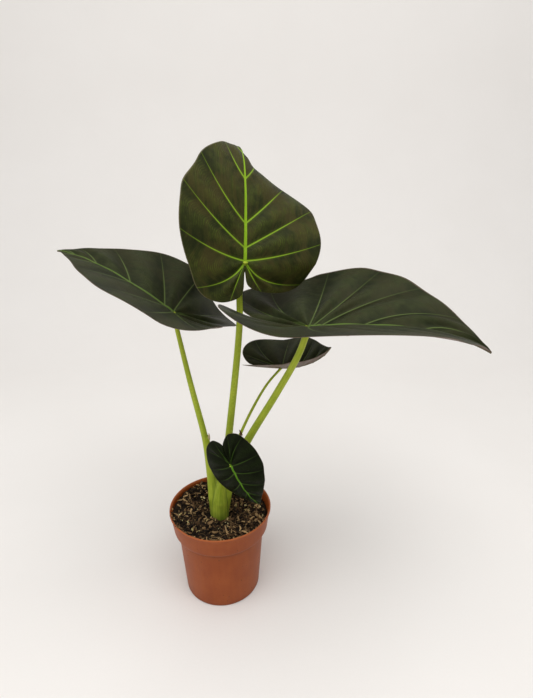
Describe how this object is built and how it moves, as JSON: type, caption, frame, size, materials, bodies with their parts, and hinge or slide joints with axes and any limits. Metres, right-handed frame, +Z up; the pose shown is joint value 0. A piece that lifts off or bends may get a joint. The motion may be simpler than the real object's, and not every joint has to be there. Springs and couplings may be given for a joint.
{
  "type": "potted alocasia plant",
  "caption": "Young foliage houseplant with broad heart-shaped leaves on long upright stalks, rooted in soil in a round tapered nursery pot with a collar.",
  "frame": {"origin": "centre of the pot's flat underside, on the surface that the pot stands on", "axes": "+Z up, the plant's height; -Z is the way the underside faces; looking along +Y the tall upright blade shows its upper face and the largest blade reaches out to +X"},
  "size_m": [0.423, 0.2143, 0.5125],
  "materials": {
    "pot": "satin",
    "soil": "matte",
    "corm": "matte",
    "petiole": "satin",
    "young_blade": "satin",
    "blade": "satin"
  },
  "bodies": {
    "root": {"pot": "pot", "potting_soil": "soil", "corm": "corm", "petiole_upright": "petiole", "petiole_left": "petiole", "petiole_right": "petiole", "petiole_back": "petiole", "petiole_front": "petiole", "blade_upright": "young_blade", "blade_left": "blade", "blade_right": "blade", "blade_back": "blade", "blade_front": "blade"}
  },
  "joints": []
}
